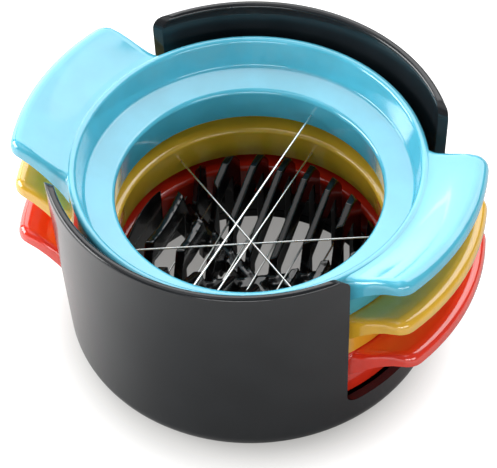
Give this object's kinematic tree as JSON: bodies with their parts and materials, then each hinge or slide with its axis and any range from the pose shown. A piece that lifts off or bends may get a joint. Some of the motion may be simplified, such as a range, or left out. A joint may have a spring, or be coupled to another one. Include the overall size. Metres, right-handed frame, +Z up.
{
  "type": "egg slicer",
  "caption": "Egg slicer: a notched cup with a finned egg bed under stacked wire cutting rings with wing handles, which halve, wedge and slice an egg.",
  "frame": {"origin": "centre of the cup's foot, on the table plane", "axes": "+Z up along the axis of the cup and rings, +X along the handles of the rings, and slicing wires along Y"},
  "size_m": [0.12, 0.1026, 0.0648],
  "materials": {
    "cup_black": "satin moulded",
    "bed_black": "gloss moulded",
    "red_plastic": "gloss moulded",
    "yellow_plastic": "gloss moulded",
    "blue_plastic": "gloss moulded",
    "wire_steel": "drawn wire",
    "ferrule_steel": "crimped"
  },
  "bodies": {
    "base": {"base_cup": "cup_black", "egg_bed": "bed_black"},
    "slicing": {"slicing_ring": "red_plastic", "slicing_cover_ring": "red_plastic", "slicing_ferrules": "ferrule_steel", "slicing_wire_1": "wire_steel", "slicing_wire_2": "wire_steel", "slicing_wire_3": "wire_steel", "slicing_wire_4": "wire_steel", "slicing_wire_5": "wire_steel", "slicing_wire_6": "wire_steel", "slicing_wire_7": "wire_steel", "slicing_wire_8": "wire_steel", "slicing_wire_9": "wire_steel"},
    "wedge": {"wedge_ring": "yellow_plastic", "wedge_cover_ring": "yellow_plastic", "wedge_ferrules": "ferrule_steel", "wedge_wire_1": "wire_steel", "wedge_wire_2": "wire_steel", "wedge_wire_3": "wire_steel"},
    "halving": {"halving_ring": "blue_plastic", "halving_cover_ring": "blue_plastic", "halving_ferrules": "ferrule_steel", "halving_wire": "wire_steel"}
  },
  "joints": [
    {"name": "slicing_lift", "type": "slide", "parent": "base", "child": "slicing", "axis": [0, 0, 1], "range_m": [0, 0.06]},
    {"name": "wedge_lift", "type": "slide", "parent": "slicing", "child": "wedge", "axis": [0, 0, 1], "range_m": [0, 0.045]},
    {"name": "halving_lift", "type": "slide", "parent": "wedge", "child": "halving", "axis": [0, 0, 1], "range_m": [0, 0.03]}
  ]
}
